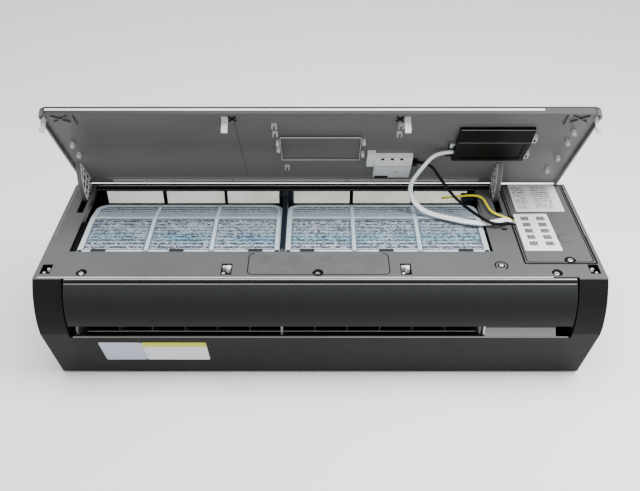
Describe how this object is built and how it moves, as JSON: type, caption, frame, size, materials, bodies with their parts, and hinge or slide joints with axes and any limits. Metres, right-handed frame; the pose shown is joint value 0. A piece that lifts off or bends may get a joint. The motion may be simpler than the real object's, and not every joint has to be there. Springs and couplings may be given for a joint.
{
  "type": "mini split indoor unit",
  "caption": "Wall-mounted mini split indoor unit with its front panel swung open over the filters, with coil, cross-flow fan, outlet louver, vanes, pipes and electrical box.",
  "frame": {"origin": "centre of the back face, the plane that lies on the wall", "axes": "+X along the unit to its electrical end (right as seen from the room), +Y to the edge that is uppermost on the wall, +Z out of the wall into the room"},
  "size_m": [0.835, 0.2871, 0.4082],
  "materials": {
    "casing_grey": "satin moulded grey plastic",
    "casing_dark": "fine-grained charcoal plastic",
    "louver_dark": "smooth dark plastic",
    "panel_grey": "satin moulded grey plastic",
    "light_plastic": "pale grey plastic",
    "black_plastic": "black plastic, half gloss",
    "filter_plastic": "pale blue-white plastic",
    "filter_mesh": "fine pale blue net",
    "pan_plastic": "foam-faced grey plastic",
    "coil_fins": "thin satin fins",
    "coil_plate": "zinc-coated sheet",
    "copper": "drawn copper tube",
    "union_brass": "machined brass",
    "foam_sleeve": "closed-cell foam",
    "fan_plastic": "dark moulded blades",
    "shaft_steel": "ground steel",
    "bearing_rubber": "black rubber",
    "motor_shell": "drawn steel can",
    "screw_steel": "zinc-plated",
    "board_green": "printed board",
    "terminal_dark": "moulded terminal body",
    "hose_white": "ribbed white hose",
    "cable_white": "white jacket",
    "cable_black": "black jacket",
    "earth_yellow": "yellow jacket"
  },
  "bodies": {
    "base": {"front_frame": "casing_grey", "intake_grille": "casing_grey", "rear_casing": "casing_dark", "outlet_duct": "pan_plastic", "duct_end_block": "pan_plastic", "louver_post": "pan_plastic", "louver_bearing": "light_plastic", "louver_motor": "motor_shell", "pocket_plate": "casing_grey", "casing_screws": "screw_steel", "latch_catches": "light_plastic", "hinge_pins": "shaft_steel", "button_switch": "black_plastic", "fan_bearing": "bearing_rubber", "fan_motor": "motor_shell", "motor_clamp": "light_plastic", "evaporator": "coil_fins", "coil_end_plates": "coil_plate", "return_bends": "copper", "electrical_box": "casing_dark", "electrical_cover": "casing_grey", "control_board": "board_green", "terminal_block": "terminal_dark", "terminal_screws": "screw_steel", "copper_pipes": "copper", "pipe_sleeves": "foam_sleeve", "flare_unions": "union_brass", "drain_elbow": "hose_white", "drain_hose": "hose_white", "display_cable": "cable_white", "module_cable": "cable_black", "earth_wire": "earth_yellow"},
    "panel": {"front_panel": "panel_grey", "panel_hooks": "light_plastic", "panel_clips": "light_plastic", "hinge_arm_left": "light_plastic", "hinge_arm_right": "light_plastic", "display_box": "black_plastic", "wireless_module": "light_plastic", "module_plug": "black_plastic"},
    "fan": {"fan_rotor": "fan_plastic", "fan_axles": "shaft_steel"},
    "louver": {"louver": "louver_dark"},
    "filter_left": {"filter_frame_left": "filter_plastic", "filter_net_left": "filter_mesh"},
    "filter_right": {"filter_frame_right": "filter_plastic", "filter_net_right": "filter_mesh"},
    "button": {"manual_button": "light_plastic"},
    "link_left": {"vane_link_left": "casing_dark"},
    "link_right": {"vane_link_right": "casing_dark"},
    "vane_left_1": {"vane_left_1": "casing_dark"},
    "vane_left_2": {"vane_left_2": "casing_dark"},
    "vane_left_3": {"vane_left_3": "casing_dark"},
    "vane_left_4": {"vane_left_4": "casing_dark"},
    "vane_left_5": {"vane_left_5": "casing_dark"},
    "vane_right_1": {"vane_right_1": "casing_dark"},
    "vane_right_2": {"vane_right_2": "casing_dark"},
    "vane_right_3": {"vane_right_3": "casing_dark"},
    "vane_right_4": {"vane_right_4": "casing_dark"},
    "vane_right_5": {"vane_right_5": "casing_dark"}
  },
  "joints": [
    {"name": "panel_hinge", "type": "hinge", "parent": "base", "child": "panel", "pos_m": [0, 0.1219, 0.194], "axis": [1, 0, 0], "range_deg": [0, 56.5], "deforming": ["display_cable", "module_cable"]},
    {"name": "fan_spin", "type": "hinge", "parent": "base", "child": "fan", "pos_m": [0, -0.005, 0.084], "axis": [1, 0, 0], "continuous": true},
    {"name": "louver_swing", "type": "hinge", "parent": "base", "child": "louver", "pos_m": [0, -0.1215, 0.152], "axis": [1, 0, 0], "range_deg": [0, 70]},
    {"name": "link_left_slide", "type": "slide", "parent": "base", "child": "link_left", "axis": [1, 0, 0], "range_m": [-0.00628, 0.00628]},
    {"name": "vane_left_1_turn", "type": "hinge", "parent": "base", "child": "vane_left_1", "pos_m": [-0.10767, -0.088, 0.085], "axis": [0, 0.4848, 0.8746], "range_deg": [-30, 30]},
    {"name": "vane_left_2_turn", "type": "hinge", "parent": "base", "child": "vane_left_2", "pos_m": [-0.15733, -0.088, 0.085], "axis": [0, 0.4848, 0.8746], "range_deg": [-30, 30]},
    {"name": "vane_left_3_turn", "type": "hinge", "parent": "base", "child": "vane_left_3", "pos_m": [-0.207, -0.088, 0.085], "axis": [0, 0.4848, 0.8746], "range_deg": [-30, 30]},
    {"name": "vane_left_4_turn", "type": "hinge", "parent": "base", "child": "vane_left_4", "pos_m": [-0.25667, -0.088, 0.085], "axis": [0, 0.4848, 0.8746], "range_deg": [-30, 30]},
    {"name": "vane_left_5_turn", "type": "hinge", "parent": "base", "child": "vane_left_5", "pos_m": [-0.30633, -0.088, 0.085], "axis": [0, 0.4848, 0.8746], "range_deg": [-30, 30]},
    {"name": "link_right_slide", "type": "slide", "parent": "base", "child": "link_right", "axis": [1, 0, 0], "range_m": [-0.00628, 0.00628]},
    {"name": "vane_right_1_turn", "type": "hinge", "parent": "base", "child": "vane_right_1", "pos_m": [-0.00833, -0.088, 0.085], "axis": [0, 0.4848, 0.8746], "range_deg": [-30, 30]},
    {"name": "vane_right_2_turn", "type": "hinge", "parent": "base", "child": "vane_right_2", "pos_m": [0.04133, -0.088, 0.085], "axis": [0, 0.4848, 0.8746], "range_deg": [-30, 30]},
    {"name": "vane_right_3_turn", "type": "hinge", "parent": "base", "child": "vane_right_3", "pos_m": [0.091, -0.088, 0.085], "axis": [0, 0.4848, 0.8746], "range_deg": [-30, 30]},
    {"name": "vane_right_4_turn", "type": "hinge", "parent": "base", "child": "vane_right_4", "pos_m": [0.14067, -0.088, 0.085], "axis": [0, 0.4848, 0.8746], "range_deg": [-30, 30]},
    {"name": "vane_right_5_turn", "type": "hinge", "parent": "base", "child": "vane_right_5", "pos_m": [0.19033, -0.088, 0.085], "axis": [0, 0.4848, 0.8746], "range_deg": [-30, 30]},
    {"name": "filter_left_slide", "type": "slide", "parent": "base", "child": "filter_left", "axis": [0, 1, 0], "range_m": [0, 0.006]},
    {"name": "filter_right_slide", "type": "slide", "parent": "base", "child": "filter_right", "axis": [0, 1, 0], "range_m": [0, 0.006]},
    {"name": "button_press", "type": "slide", "parent": "base", "child": "button", "axis": [0, 0, -1], "range_m": [0, 0.0015], "stiffness_N_per_m": 400}
  ],
  "couplings": [
    {"joint": "vane_left_1_turn", "follows": "link_left_slide", "rad_per_m": -83.333},
    {"joint": "vane_left_2_turn", "follows": "link_left_slide", "rad_per_m": -83.333},
    {"joint": "vane_left_3_turn", "follows": "link_left_slide", "rad_per_m": -83.333},
    {"joint": "vane_left_4_turn", "follows": "link_left_slide", "rad_per_m": -83.333},
    {"joint": "vane_left_5_turn", "follows": "link_left_slide", "rad_per_m": -83.333},
    {"joint": "vane_right_1_turn", "follows": "link_right_slide", "rad_per_m": -83.333},
    {"joint": "vane_right_2_turn", "follows": "link_right_slide", "rad_per_m": -83.333},
    {"joint": "vane_right_3_turn", "follows": "link_right_slide", "rad_per_m": -83.333},
    {"joint": "vane_right_4_turn", "follows": "link_right_slide", "rad_per_m": -83.333},
    {"joint": "vane_right_5_turn", "follows": "link_right_slide", "rad_per_m": -83.333}
  ]
}
